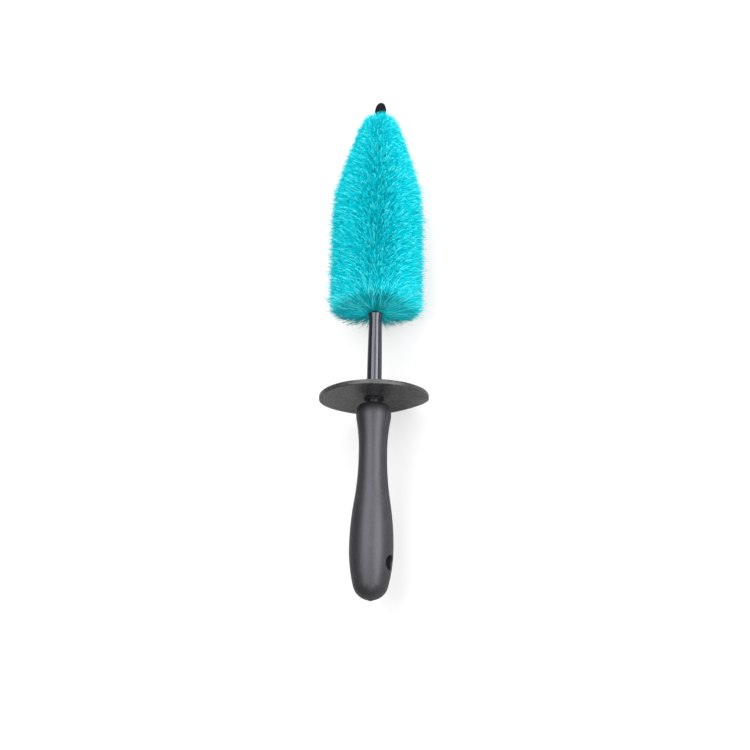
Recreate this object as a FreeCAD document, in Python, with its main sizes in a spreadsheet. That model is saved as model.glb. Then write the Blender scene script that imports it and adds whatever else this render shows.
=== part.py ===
"""Wheel brush: a contoured handle, a splash guard on a sleeved stem, and a twisted-in-wire bristle head.

Every sub-part is modelled about its own local Z axis, butt end down, and then laid along the row's Y
axis, with the guard's rim on z = 0. Stations are distances along the brush from its butt end.
"""
import FreeCAD, Part
import Sketcher
import math
import os

Vector = FreeCAD.Vector

doc = FreeCAD.newDocument("WheelBrush")
sizes = doc.addObject("Spreadsheet::Sheet", "Sizes")

DRIVING_SIZES = {
    # whole brush
    "overall_length": 430.4,
    # handle: outline, measured from the pole of its domed butt
    "nub_radius": 1.6,
    "nub_height": 0.4,
    "handle_length": 162.0,
    "nose_radius": 14.5,
    "belly_radius": 17.9,
    "belly_height": 42.0,
    "waist_radius": 11.6,
    "waist_start": 119.5,
    "waist_end": 124.5,
    "crown_radius": 14.35,
    "crown_height": 153.0,
    "crown_arc": 20.0,
    "shoulder_arc": 130.0,
    "front_corner": 4.5,
    "hang_hole_radius": 6.1,
    "hang_hole_height": 29.5,
    "hang_hole_edge": 1.1,
    # handle: stepped bore for the stem
    "socket_floor": 142.0,
    "core_floor": 66.0,
    "pilot_floor": 58.0,
    "core_radius": 4.6,
    # stem
    "wire_radius": 1.6,
    "twist_radius": 1.85,
    "twist_pitch": 30.0,
    "stem_bore": 3.6,
    "stem_end": 424.0,
    # ferrule
    "ferrule_length": 60.0,
    "crimp_depth": 0.3,
    "crimp_width": 4.0,
    "crimp_step": 17.0,
    # sleeve
    "sleeve_radius": 6.15,
    "sleeve_end": 240.8,
    "seat_end": 174.0,
    "sleeve_waist": 5.05,
    "sleeve_waist_station": 234.0,
    "bell_radius": 6.05,
    "bell_lip": 0.7,
    # guard and grommet
    "guard_station": 167.4,
    "guard_radius": 45.0,
    "guard_thickness": 3.8,
    "guard_edge": 0.5,
    "guard_hole": 7.65,
    "turning_gap": 0.05,
    "side_gap": 0.1,
    "grommet_bore": 6.22,
    "bead_radius": 8.0,
    "bead_width": 1.0,
    "flange_radius": 11.5,
    "flange_width": 2.0,
    "hub_radius": 8.6,
    "hub_length": 7.5,
    # bristle head
    "head_radius": 39.0,
    "head_start": 240.8,
    "taper_start": 346.0,
    "head_end": 418.0,
    "fan_radius": 15.0,
    "base_round": 7.0,
    "fan_round": 6.0,
    # tip cap
    "cap_start": 411.0,
    "cap_radius": 4.9,
    "cap_flank_arc": 13.0,
    "cap_nose_arc": 2.6,
}

STRAIGHT_BANDS = 6
TAPER_BANDS = 4


def fill_sheet():
    for row, (alias, value) in enumerate(DRIVING_SIZES.items(), start=1):
        sizes.set(f"A{row}", alias.replace("_", " "))
        sizes.set(f"B{row}", str(value))
        sizes.setAlias(f"B{row}", alias)
    doc.recompute()


def value_of(expression):
    return float(sizes.evalExpression(expression))


def new_body(label):
    body = doc.addObject("PartDesign::Body", label)
    body.Label = label
    return body


def new_sketch(body, name, plane):
    sketch = body.newObject("Sketcher::SketchObject", name)
    support = next(feature for feature in body.Origin.OriginFeatures if feature.Role == plane)
    sketch.AttachmentSupport = [(support, "")]
    sketch.MapMode = "FlatFace"
    return sketch


def bind(sketch, constraint, expression):
    index = sketch.addConstraint(constraint)
    sketch.setExpression(f"Constraints[{index}]", expression)


def set_across(sketch, geometry, end, expression):
    """Holds a point's distance across from the axis."""
    value = value_of(expression)
    bind(sketch, Sketcher.Constraint("DistanceX", -1, 1, geometry, end, value), expression)


def set_along(sketch, geometry, end, expression):
    """Holds a point's height along the axis."""
    value = value_of(expression)
    bind(sketch, Sketcher.Constraint("DistanceY", -1, 1, geometry, end, value), expression)


def on_axis(sketch, geometry, end):
    sketch.addConstraint(Sketcher.Constraint("PointOnObject", geometry, end, -2))


def on_base(sketch, geometry, end):
    sketch.addConstraint(Sketcher.Constraint("PointOnObject", geometry, end, -1))


def add_line(sketch, start, end):
    return sketch.addGeometry(Part.LineSegment(Vector(*start, 0), Vector(*end, 0)))


def add_arc(sketch, centre, radius, start_angle, end_angle):
    circle = Part.Circle(Vector(*centre, 0), Vector(0, 0, 1), radius)
    return sketch.addGeometry(Part.ArcOfCircle(circle, start_angle, end_angle))


def join(sketch, first, first_end, second, second_end):
    sketch.addConstraint(Sketcher.Constraint("Coincident", first, first_end, second, second_end))


def touch_smoothly(sketch, first, first_end, second, second_end):
    sketch.addConstraint(Sketcher.Constraint("Tangent", first, first_end, second, second_end))


def draw_corners(body, name, corners):
    """Closed outline of straight sides; each corner is (distance from the axis, height)."""
    sketch = new_sketch(body, name, "XZ_Plane")
    points = [(value_of(across), value_of(along)) for across, along in corners]
    count = len(corners)
    for start, end in zip(points, points[1:] + points[:1]):
        add_line(sketch, start, end)
    for side in range(count):
        join(sketch, side, 2, (side + 1) % count, 1)
        across, along = corners[side]
        set_across(sketch, side, 1, across)
        if points[side][1] == 0:
            on_base(sketch, side, 1)
        else:
            set_along(sketch, side, 1, along)
    return sketch


def revolve(body, sketch, name, kind="PartDesign::Revolution"):
    feature = body.newObject(kind, name)
    feature.Profile = sketch
    feature.ReferenceAxis = (sketch, ["V_Axis"])
    feature.Angle = 360
    sketch.Visibility = False
    doc.recompute()
    return feature


def ring_edges(feature, radius, height):
    """Names of the round edges at this radius and height."""
    names = []
    for number, edge in enumerate(feature.Shape.Edges, start=1):
        curve = edge.Curve
        if not isinstance(curve, Part.Circle):
            continue
        if abs(curve.Radius - radius) < 0.01 and abs(curve.Center.z - height) < 0.01:
            names.append(f"Edge{number}")
    return names


def dress(body, base, kind, name, edges, size):
    """Adds a fillet or chamfer, with its size bound to the sheet."""
    feature = body.newObject(f"PartDesign::{kind}", name)
    feature.Base = (base, edges)
    feature.setExpression("Radius" if kind == "Fillet" else "Size", size)
    doc.recompute()
    return feature


def lay_down(part, station):
    """Lays a sub-part along Y, with its local base at this station."""
    part.Placement = FreeCAD.Placement(Vector(0, 0, 0), FreeCAD.Rotation(Vector(1, 0, 0), -90))
    part.setExpression(".Placement.Base.y", f"{station} - Sizes.overall_length / 2")
    part.setExpression(".Placement.Base.z", "Sizes.guard_radius")


def draw_handle_outline(body):
    """Outer outline in tangent arcs from the butt to the front face, then back down the stepped bore."""
    nose = value_of("Sizes.nose_radius")
    belly = value_of("Sizes.belly_radius")
    belly_at = value_of("Sizes.belly_height")
    waist = value_of("Sizes.waist_radius")
    waist_from = value_of("Sizes.waist_start")
    waist_to = value_of("Sizes.waist_end")
    crown = value_of("Sizes.crown_radius")
    crown_at = value_of("Sizes.crown_height")
    crown_arc = value_of("Sizes.crown_arc")
    shoulder = value_of("Sizes.shoulder_arc")
    corner = value_of("Sizes.front_corner")
    front = value_of("Sizes.handle_length")
    socket = value_of("Sizes.sleeve_radius")
    socket_floor = value_of("Sizes.socket_floor")
    core = value_of("Sizes.core_radius")
    core_floor = value_of("Sizes.core_floor")
    pilot = value_of("Sizes.stem_bore")
    pilot_floor = value_of("Sizes.pilot_floor")

    # starting shapes of the arcs; the constraints below settle them
    rise = belly_at - nose
    flank = (rise ** 2 + belly ** 2 - nose ** 2) / (2 * (belly - nose))
    flank_angle = math.atan2(flank - belly, rise)
    half_run = (waist_from - belly_at) / 2
    half_drop = (belly - waist) / 2
    sway = (half_run ** 2 + half_drop ** 2) / (2 * half_drop)
    sway_angle = math.asin(half_run / sway)
    shoulder_angle = math.asin((crown_at - waist_to) / (shoulder + crown_arc))
    corner_angle = math.asin((front - corner - crown_at) / (crown_arc - corner))
    corner_across = crown - crown_arc + (crown_arc - corner) * math.cos(corner_angle)

    sketch = new_sketch(body, "HandleOutline", "XZ_Plane")
    nose_arc = add_arc(sketch, (0, nose), nose, -math.pi / 2, flank_angle - math.pi / 2)
    flank_arc = add_arc(sketch, (belly - flank, belly_at), flank, flank_angle - math.pi / 2, 0)
    belly_arc = add_arc(sketch, (belly - sway, belly_at), sway, 0, sway_angle)
    sway_arc = add_arc(sketch, (waist + sway, waist_from), sway, math.pi, math.pi + sway_angle)
    waist_line = add_line(sketch, (waist, waist_from), (waist, waist_to))
    shoulder_arc = add_arc(
        sketch, (waist + shoulder, waist_to), shoulder, math.pi - shoulder_angle, math.pi
    )
    crown_curve = add_arc(
        sketch, (crown - crown_arc, crown_at), crown_arc, -shoulder_angle, corner_angle
    )
    corner_arc = add_arc(sketch, (corner_across, front - corner), corner, corner_angle, math.pi / 2)
    bore = [
        (corner_across, front),
        (socket, front),
        (socket, socket_floor),
        (core, socket_floor),
        (core, core_floor),
        (pilot, core_floor),
        (pilot, pilot_floor),
        (0, pilot_floor),
        (0, 0),
    ]
    sides = [add_line(sketch, start, end) for start, end in zip(bore, bore[1:])]

    # an arc runs anticlockwise, so the arcs that bulge inwards are met at their other ends
    touch_smoothly(sketch, nose_arc, 2, flank_arc, 1)
    touch_smoothly(sketch, flank_arc, 2, belly_arc, 1)
    touch_smoothly(sketch, belly_arc, 2, sway_arc, 2)
    touch_smoothly(sketch, sway_arc, 1, waist_line, 1)
    touch_smoothly(sketch, waist_line, 2, shoulder_arc, 2)
    touch_smoothly(sketch, shoulder_arc, 1, crown_curve, 1)
    touch_smoothly(sketch, crown_curve, 2, corner_arc, 1)
    touch_smoothly(sketch, corner_arc, 2, sides[0], 1)
    for first, second in zip(sides, sides[1:]):
        join(sketch, first, 2, second, 1)
    join(sketch, sides[-1], 2, nose_arc, 1)

    sketch.addConstraint(Sketcher.Constraint("Coincident", nose_arc, 1, -1, 1))
    on_axis(sketch, nose_arc, 3)
    bind(sketch, Sketcher.Constraint("Radius", nose_arc, nose), "Sizes.nose_radius")
    set_across(sketch, flank_arc, 2, "Sizes.belly_radius")
    set_along(sketch, flank_arc, 2, "Sizes.belly_height")
    set_along(sketch, belly_arc, 3, "Sizes.belly_height")
    sketch.addConstraint(Sketcher.Constraint("Equal", belly_arc, sway_arc))
    sketch.addConstraint(Sketcher.Constraint("Vertical", waist_line))
    set_across(sketch, waist_line, 1, "Sizes.waist_radius")
    set_along(sketch, waist_line, 1, "Sizes.waist_start")
    set_along(sketch, waist_line, 2, "Sizes.waist_end")
    set_along(sketch, crown_curve, 3, "Sizes.crown_height")
    set_across(sketch, crown_curve, 3, "Sizes.crown_radius - Sizes.crown_arc")
    bind(sketch, Sketcher.Constraint("Radius", crown_curve, crown_arc), "Sizes.crown_arc")
    bind(sketch, Sketcher.Constraint("Radius", corner_arc, corner), "Sizes.front_corner")
    sketch.addConstraint(Sketcher.Constraint("Horizontal", sides[0]))
    set_along(sketch, sides[0], 2, "Sizes.handle_length")
    set_across(sketch, sides[1], 1, "Sizes.sleeve_radius")
    set_along(sketch, sides[1], 2, "Sizes.socket_floor")
    set_across(sketch, sides[3], 1, "Sizes.core_radius")
    set_along(sketch, sides[3], 2, "Sizes.core_floor")
    set_across(sketch, sides[5], 1, "Sizes.stem_bore")
    set_along(sketch, sides[5], 2, "Sizes.pilot_floor")
    for level in (2, 4, 6):
        sketch.addConstraint(Sketcher.Constraint("Horizontal", sides[level]))
    for wall in (1, 3, 5, 7):
        sketch.addConstraint(Sketcher.Constraint("Vertical", sides[wall]))
    return sketch


def make_handle():
    """Moulded grip with a rounded hang hole across it and a gate nub at its butt."""
    body = new_body("handle")
    grip = revolve(body, draw_handle_outline(body), "Grip")
    solid_volume = grip.Shape.Volume

    hole_sketch = new_sketch(body, "HangHoleSketch", "YZ_Plane")
    radius = value_of("Sizes.hang_hole_radius")
    height = value_of("Sizes.hang_hole_height")
    circle = Part.Circle(Vector(0, height, 0), Vector(0, 0, 1), radius)
    ring = hole_sketch.addGeometry(circle)
    on_axis(hole_sketch, ring, 3)
    set_along(hole_sketch, ring, 3, "Sizes.hang_hole_height")
    bind(hole_sketch, Sketcher.Constraint("Radius", ring, radius), "Sizes.hang_hole_radius")
    hole = body.newObject("PartDesign::Pocket", "HangHole")
    hole.Profile = hole_sketch
    hole.Type = "ThroughAll"
    hole.Midplane = True
    hole_sketch.Visibility = False
    doc.recompute()
    if solid_volume - hole.Shape.Volume < math.pi * radius ** 2 * 2 * 15:
        raise RuntimeError("the hang hole doesn't go through the handle")

    mouths = []
    for number, edge in enumerate(hole.Shape.Edges, start=1):
        box = edge.BoundBox
        beside = abs(box.Center.z - height) < 1 and abs(box.ZLength - 2 * radius) < 1
        if beside and box.XLength < 8 and abs(box.Center.x) > 10:
            mouths.append(f"Edge{number}")
    rounded = dress(body, hole, "Fillet", "HangHoleEdge", mouths, "Sizes.hang_hole_edge")

    nub = body.newObject("PartDesign::AdditiveCylinder", "GateNub")
    nub.setExpression("Radius", "Sizes.nub_radius")
    nub.setExpression("Height", "Sizes.nub_height * 2")
    nub.setExpression(".AttachmentOffset.Base.z", "-Sizes.nub_height")
    plane = next(feature for feature in body.Origin.OriginFeatures if feature.Role == "XY_Plane")
    nub.AttachmentSupport = [(plane, "")]
    nub.MapMode = "FlatFace"
    doc.recompute()
    if rounded.Shape.Volume >= hole.Shape.Volume:
        raise RuntimeError("the hang hole's edge isn't rounded")
    lay_down(body, "Sizes.nub_height")
    return body


def make_ferrule():
    """Crimped steel tube that holds the wires in the handle's bore."""
    body = new_body("anchor_ferrule")
    tube = [
        ("Sizes.stem_bore", "0"),
        ("Sizes.core_radius", "0"),
        ("Sizes.core_radius", "Sizes.ferrule_length"),
        ("Sizes.stem_bore", "Sizes.ferrule_length"),
    ]
    shell = revolve(body, draw_corners(body, "TubeOutline", tube), "Tube")
    margin = "(Sizes.ferrule_length - Sizes.crimp_step * 2 - Sizes.crimp_width) / 2"
    notch = [
        ("Sizes.core_radius - Sizes.crimp_depth", margin),
        ("Sizes.core_radius + 1", margin),
        ("Sizes.core_radius + 1", f"{margin} + Sizes.crimp_width"),
        ("Sizes.core_radius - Sizes.crimp_depth", f"{margin} + Sizes.crimp_width"),
    ]
    crimp_sketch = draw_corners(body, "CrimpOutline", notch)
    crimp = revolve(body, crimp_sketch, "Crimp", "PartDesign::Groove")
    if crimp.Shape.Volume >= shell.Shape.Volume:
        raise RuntimeError("the crimp isn't cut")
    row = body.newObject("PartDesign::LinearPattern", "CrimpRow")
    row.Originals = [crimp]
    row.Direction = (crimp_sketch, ["V_Axis"])
    row.Occurrences = 3
    row.setExpression("Length", "Sizes.crimp_step * 2")
    body.Tip = row
    doc.recompute()
    lay_down(body, "Sizes.nub_height + Sizes.core_floor")
    return body


def make_sleeve():
    """Tapered tube over the stem, from the handle's socket to a bell lip at the bristles."""
    body = new_body("sleeve")
    base = value_of("Sizes.nub_height + Sizes.socket_floor")
    outer = value_of("Sizes.sleeve_radius")
    bore = value_of("Sizes.stem_bore")
    seat = value_of("Sizes.seat_end") - base
    neck = value_of("Sizes.sleeve_waist")
    neck_at = value_of("Sizes.sleeve_waist_station") - base
    end = value_of("Sizes.sleeve_end") - base
    bell = value_of("Sizes.bell_radius")
    lip = value_of("Sizes.bell_lip")

    # starting shapes of the taper, the flare and the lip; the constraints settle them
    taper = ((neck_at - seat) ** 2 + (outer - neck) ** 2) / (2 * (outer - neck))
    taper_angle = math.asin((neck_at - seat) / taper)
    flare_rise = end - lip - neck_at
    flare = (flare_rise ** 2 + (bell - neck) ** 2) / (2 * (bell - neck))
    flare_angle = math.asin(flare_rise / flare)

    sketch = new_sketch(body, "SleeveOutline", "XZ_Plane")
    foot = add_line(sketch, (bore, 0), (outer, 0))
    seat_line = add_line(sketch, (outer, 0), (outer, seat))
    taper_arc = add_arc(sketch, (outer - taper, seat), taper, 0, taper_angle)
    flare_arc = add_arc(sketch, (neck + flare, neck_at), flare, math.pi - flare_angle, math.pi)
    lip_arc = add_arc(sketch, (bell - lip, end - lip), lip, 0, math.pi / 2)
    end_line = add_line(sketch, (bell - lip, end), (bore, end))
    bore_line = add_line(sketch, (bore, end), (bore, 0))

    join(sketch, foot, 2, seat_line, 1)
    touch_smoothly(sketch, seat_line, 2, taper_arc, 1)
    join(sketch, taper_arc, 2, flare_arc, 2)
    join(sketch, flare_arc, 1, lip_arc, 1)
    touch_smoothly(sketch, lip_arc, 2, end_line, 1)
    join(sketch, end_line, 2, bore_line, 1)
    join(sketch, bore_line, 2, foot, 1)

    along = "(Sizes.nub_height + Sizes.socket_floor)"
    set_across(sketch, foot, 1, "Sizes.stem_bore")
    on_base(sketch, foot, 1)
    on_base(sketch, foot, 2)
    sketch.addConstraint(Sketcher.Constraint("Vertical", seat_line))
    sketch.addConstraint(Sketcher.Constraint("Vertical", bore_line))
    sketch.addConstraint(Sketcher.Constraint("Horizontal", end_line))
    set_across(sketch, foot, 2, "Sizes.sleeve_radius")
    set_along(sketch, seat_line, 2, f"Sizes.seat_end - {along}")
    set_across(sketch, taper_arc, 2, "Sizes.sleeve_waist")
    set_along(sketch, taper_arc, 2, f"Sizes.sleeve_waist_station - {along}")
    set_along(sketch, flare_arc, 3, f"Sizes.sleeve_waist_station - {along}")
    set_across(sketch, lip_arc, 1, "Sizes.bell_radius")
    bind(sketch, Sketcher.Constraint("Radius", lip_arc, lip), "Sizes.bell_lip")
    set_along(sketch, lip_arc, 3, f"Sizes.sleeve_end - Sizes.bell_lip - {along}")
    set_along(sketch, lip_arc, 1, f"Sizes.sleeve_end - Sizes.bell_lip - {along}")
    revolve(body, sketch, "Sleeve")
    lay_down(body, along)
    return body


def make_grommet():
    """Rubber bush on the sleeve: a snap bead behind the guard, a flange and a hub in front of it."""
    body = new_body("guard_grommet")
    groove_end = "Sizes.bead_width + Sizes.side_gap * 2 + Sizes.guard_thickness"
    flange_end = f"{groove_end} + Sizes.flange_width"
    hub_end = f"{flange_end} + Sizes.hub_length"
    barrel = "Sizes.guard_hole - Sizes.turning_gap"
    outline = [
        ("Sizes.grommet_bore", "0"),
        ("Sizes.bead_radius", "0"),
        ("Sizes.bead_radius", "Sizes.bead_width"),
        (barrel, "Sizes.bead_width"),
        (barrel, groove_end),
        ("Sizes.flange_radius", groove_end),
        ("Sizes.flange_radius", flange_end),
        ("Sizes.hub_radius", flange_end),
        ("Sizes.hub_radius", hub_end),
        ("Sizes.grommet_bore", hub_end),
    ]
    bush = revolve(body, draw_corners(body, "GrommetOutline", outline), "Bush")
    rounded = ring_edges(bush, value_of("Sizes.bead_radius"), 0)
    rounded += ring_edges(bush, value_of("Sizes.flange_radius"), value_of(flange_end))
    rounded += ring_edges(bush, value_of("Sizes.hub_radius"), value_of(hub_end))
    dress(body, bush, "Fillet", "SoftEdges", rounded, "Sizes.bead_width * 0.7")
    lay_down(body, "Sizes.guard_station - Sizes.side_gap - Sizes.bead_width")
    return body


def make_guard():
    """Flat splash disc that turns on the grommet."""
    body = new_body("splash_guard")
    outline = [
        ("Sizes.guard_hole", "0"),
        ("Sizes.guard_radius", "0"),
        ("Sizes.guard_radius", "Sizes.guard_thickness"),
        ("Sizes.guard_hole", "Sizes.guard_thickness"),
    ]
    disc = revolve(body, draw_corners(body, "DiscOutline", outline), "Disc")
    rim = value_of("Sizes.guard_radius")
    edges = ring_edges(disc, rim, 0) + ring_edges(disc, rim, value_of("Sizes.guard_thickness"))
    dress(body, disc, "Fillet", "RimEdges", edges, "Sizes.guard_edge")
    lay_down(body, "Sizes.guard_station")
    return body


def make_wire(label, turn):
    """One of the two stem wires: a long helix, cut square at both ends."""
    length = "(Sizes.stem_end - Sizes.nub_height - Sizes.pilot_floor)"
    overrun = value_of("Sizes.wire_radius * 2")
    helix = doc.addObject("Part::Helix", f"{label}_helix")
    helix.setExpression("Pitch", "Sizes.twist_pitch")
    helix.setExpression("Height", f"{length} + Sizes.wire_radius * 4")
    helix.setExpression("Radius", "Sizes.twist_radius")
    section = doc.addObject("Part::Circle", f"{label}_section")
    section.setExpression("Radius", "Sizes.wire_radius")
    climb = math.atan2(value_of("Sizes.twist_pitch"), math.tau * value_of("Sizes.twist_radius"))
    section.Placement = FreeCAD.Placement(
        Vector(value_of("Sizes.twist_radius"), 0, 0),
        FreeCAD.Rotation(Vector(1, 0, 0), math.degrees(climb) - 90),
    )
    sweep = doc.addObject("Part::Sweep", f"{label}_sweep")
    sweep.Sections = [section]
    sweep.Spine = (helix, ["Edge1"])
    sweep.Solid = True
    sweep.Frenet = True
    sweep.Placement = FreeCAD.Placement(
        Vector(0, 0, -overrun), FreeCAD.Rotation(Vector(0, 0, 1), turn)
    )
    envelope = doc.addObject("Part::Cylinder", f"{label}_envelope")
    envelope.setExpression("Radius", "Sizes.twist_radius + Sizes.wire_radius + 1")
    envelope.setExpression("Height", length)
    wire = doc.addObject("Part::Common", label)
    wire.Base = sweep
    wire.Tool = envelope
    wire.Label = label
    doc.recompute()
    lay_down(wire, "Sizes.nub_height + Sizes.pilot_floor")
    return wire


def make_tip_cap():
    """Blunt pointed cap over the wire ends."""
    body = new_body("tip_cap")
    length = value_of("Sizes.overall_length - Sizes.cap_start")
    depth = value_of("Sizes.stem_end - Sizes.cap_start")
    outer = value_of("Sizes.cap_radius")
    bore = value_of("Sizes.stem_bore")
    flank = value_of("Sizes.cap_flank_arc")
    nose = value_of("Sizes.cap_nose_arc")

    # starting shapes: the nose sits on the axis and the flank runs smoothly from it to the skirt
    reach = math.sqrt((flank - nose) ** 2 - (flank - outer) ** 2)
    shoulder_at = length - nose - reach
    nose_angle = math.asin(reach / (flank - nose))

    sketch = new_sketch(body, "CapOutline", "XZ_Plane")
    foot = add_line(sketch, (bore, 0), (outer, 0))
    skirt = add_line(sketch, (outer, 0), (outer, shoulder_at))
    flank_arc = add_arc(sketch, (outer - flank, shoulder_at), flank, 0, nose_angle)
    nose_arc = add_arc(sketch, (0, length - nose), nose, nose_angle, math.pi / 2)
    axis_line = add_line(sketch, (0, length), (0, depth))
    roof = add_line(sketch, (0, depth), (bore, depth))
    wall = add_line(sketch, (bore, depth), (bore, 0))

    join(sketch, foot, 2, skirt, 1)
    touch_smoothly(sketch, skirt, 2, flank_arc, 1)
    touch_smoothly(sketch, flank_arc, 2, nose_arc, 1)
    join(sketch, nose_arc, 2, axis_line, 1)
    join(sketch, axis_line, 2, roof, 1)
    join(sketch, roof, 2, wall, 1)
    join(sketch, wall, 2, foot, 1)
    on_base(sketch, foot, 1)
    on_base(sketch, foot, 2)
    set_across(sketch, foot, 1, "Sizes.stem_bore")
    set_across(sketch, foot, 2, "Sizes.cap_radius")
    for upright in (skirt, wall, axis_line):
        sketch.addConstraint(Sketcher.Constraint("Vertical", upright))
    sketch.addConstraint(Sketcher.Constraint("Horizontal", roof))
    bind(sketch, Sketcher.Constraint("Radius", flank_arc, flank), "Sizes.cap_flank_arc")
    bind(sketch, Sketcher.Constraint("Radius", nose_arc, nose), "Sizes.cap_nose_arc")
    on_axis(sketch, nose_arc, 3)
    on_axis(sketch, nose_arc, 2)
    set_along(sketch, nose_arc, 2, "Sizes.overall_length - Sizes.cap_start")
    set_along(sketch, roof, 1, "Sizes.stem_end - Sizes.cap_start")
    revolve(body, sketch, "Cap")
    lay_down(body, "Sizes.cap_start")
    return body


def make_band(number):
    """One band of the bristle head: a ring round the stem, straight or tapered."""
    body = new_body(f"bristle_band_{number}")
    straight_step = f"(Sizes.taper_start - Sizes.head_start) / {STRAIGHT_BANDS}"
    taper_step = f"(Sizes.head_end - Sizes.taper_start) / {TAPER_BANDS}"
    narrowing = f"(Sizes.head_radius - Sizes.fan_radius) / {TAPER_BANDS}"
    if number <= STRAIGHT_BANDS:
        station = f"Sizes.head_start + {straight_step} * {number - 1}"
        length = straight_step
        lower = "Sizes.head_radius"
        upper = "Sizes.head_radius"
    else:
        passed = number - STRAIGHT_BANDS - 1
        station = f"Sizes.taper_start + {taper_step} * {passed}"
        length = taper_step
        lower = f"Sizes.head_radius - {narrowing} * {passed}"
        upper = f"Sizes.head_radius - {narrowing} * {passed + 1}"
    last = number == STRAIGHT_BANDS + TAPER_BANDS
    outline = [("Sizes.stem_bore", "0"), (lower, "0"), (upper, length)]
    if last:
        cap_foot = f"Sizes.cap_start - ({station})"
        outline += [
            ("Sizes.cap_radius", length),
            ("Sizes.cap_radius", cap_foot),
            ("Sizes.stem_bore", cap_foot),
        ]
    else:
        outline.append(("Sizes.stem_bore", length))
    ring = revolve(body, draw_corners(body, f"BandOutline{number}", outline), f"Band{number}")
    if number == 1:
        edge = ring_edges(ring, value_of(lower), 0)
        dress(body, ring, "Fillet", "BaseRound", edge, "Sizes.base_round")
    if last:
        edge = ring_edges(ring, value_of(upper), value_of(length))
        dress(body, ring, "Fillet", "FanRound", edge, "Sizes.fan_round")
    lay_down(body, station)
    return body


def check_document():
    """Stops the macro if any object failed to compute."""
    for item in doc.Objects:
        if "Invalid" in item.State or "Error" in item.State:
            raise RuntimeError(f"{item.Label} failed: {item.State}")
        if item.TypeId == "Sketcher::SketchObject" and not item.FullyConstrained:
            raise RuntimeError(f"{item.Label} isn't fully constrained")


def write_parts(parts):
    os.makedirs("parts", exist_ok=True)
    for part in parts:
        shape = part.Shape
        if shape.isNull() or not shape.isValid() or len(shape.Solids) != 1:
            raise RuntimeError(f"{part.Label} isn't one valid solid")
        shape.exportStep(f"parts/{part.Label}.step")
        box = shape.BoundBox
        print(
            f"{part.Label:18} volume {shape.Volume:10.1f}  "
            f"y {box.YMin:8.2f} to {box.YMax:8.2f}  z {box.ZMin:6.2f} to {box.ZMax:6.2f}"
        )


fill_sheet()
sub_parts = [
    make_handle(),
    make_ferrule(),
    make_sleeve(),
    make_grommet(),
    make_guard(),
    make_wire("stem_wire_a", 0),
    make_wire("stem_wire_b", 180),
    make_tip_cap(),
]
for band_number in range(1, STRAIGHT_BANDS + TAPER_BANDS + 1):
    sub_parts.append(make_band(band_number))
doc.recompute()
check_document()
write_parts(sub_parts)
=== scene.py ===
import math
import bmesh
import bpy
import numpy as np
from mathutils import Matrix, Vector, noise


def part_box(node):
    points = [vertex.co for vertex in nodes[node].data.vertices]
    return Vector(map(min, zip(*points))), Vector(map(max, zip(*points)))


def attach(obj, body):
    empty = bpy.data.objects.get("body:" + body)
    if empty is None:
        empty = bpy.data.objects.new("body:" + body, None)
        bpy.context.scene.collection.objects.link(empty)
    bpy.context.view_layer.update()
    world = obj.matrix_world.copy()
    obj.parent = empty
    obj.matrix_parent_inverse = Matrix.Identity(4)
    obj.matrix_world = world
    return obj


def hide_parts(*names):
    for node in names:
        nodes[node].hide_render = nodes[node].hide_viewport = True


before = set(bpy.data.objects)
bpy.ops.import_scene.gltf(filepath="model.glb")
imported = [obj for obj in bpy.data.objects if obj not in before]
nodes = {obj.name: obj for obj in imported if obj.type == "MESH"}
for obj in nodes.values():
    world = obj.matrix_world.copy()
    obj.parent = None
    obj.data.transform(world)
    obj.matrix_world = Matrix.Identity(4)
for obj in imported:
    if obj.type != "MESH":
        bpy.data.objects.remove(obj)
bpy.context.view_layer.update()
print("frame loaded:", len(nodes), "nodes")

guardLow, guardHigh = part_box("splash_guard")
axisX = (guardLow.x + guardHigh.x) / 2  # the brush's own axis runs along Y through here
axisZ = (guardLow.z + guardHigh.z) / 2
mm = 0.001
weld = 1e-7  # corners nearer than this are one


# shader maths

class Strand:  # one socket of a node tree, worked with like a number
    def __init__(self, maker, socket):
        self.maker = maker
        self.socket = socket

    def sum(self, operation, first, second):
        return self.maker.node("ShaderNodeMath", {"operation": operation}, {0: first, 1: second})

    def __add__(self, other):
        return self.sum("ADD", self, other)

    def __sub__(self, other):
        return self.sum("SUBTRACT", self, other)

    def __rsub__(self, other):
        return self.sum("SUBTRACT", other, self)

    def __mul__(self, other):
        return self.sum("MULTIPLY", self, other)

    def __truediv__(self, other):
        return self.sum("DIVIDE", self, other)

    def __rtruediv__(self, other):
        return self.sum("DIVIDE", other, self)

    __radd__ = __add__
    __rmul__ = __mul__


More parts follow.
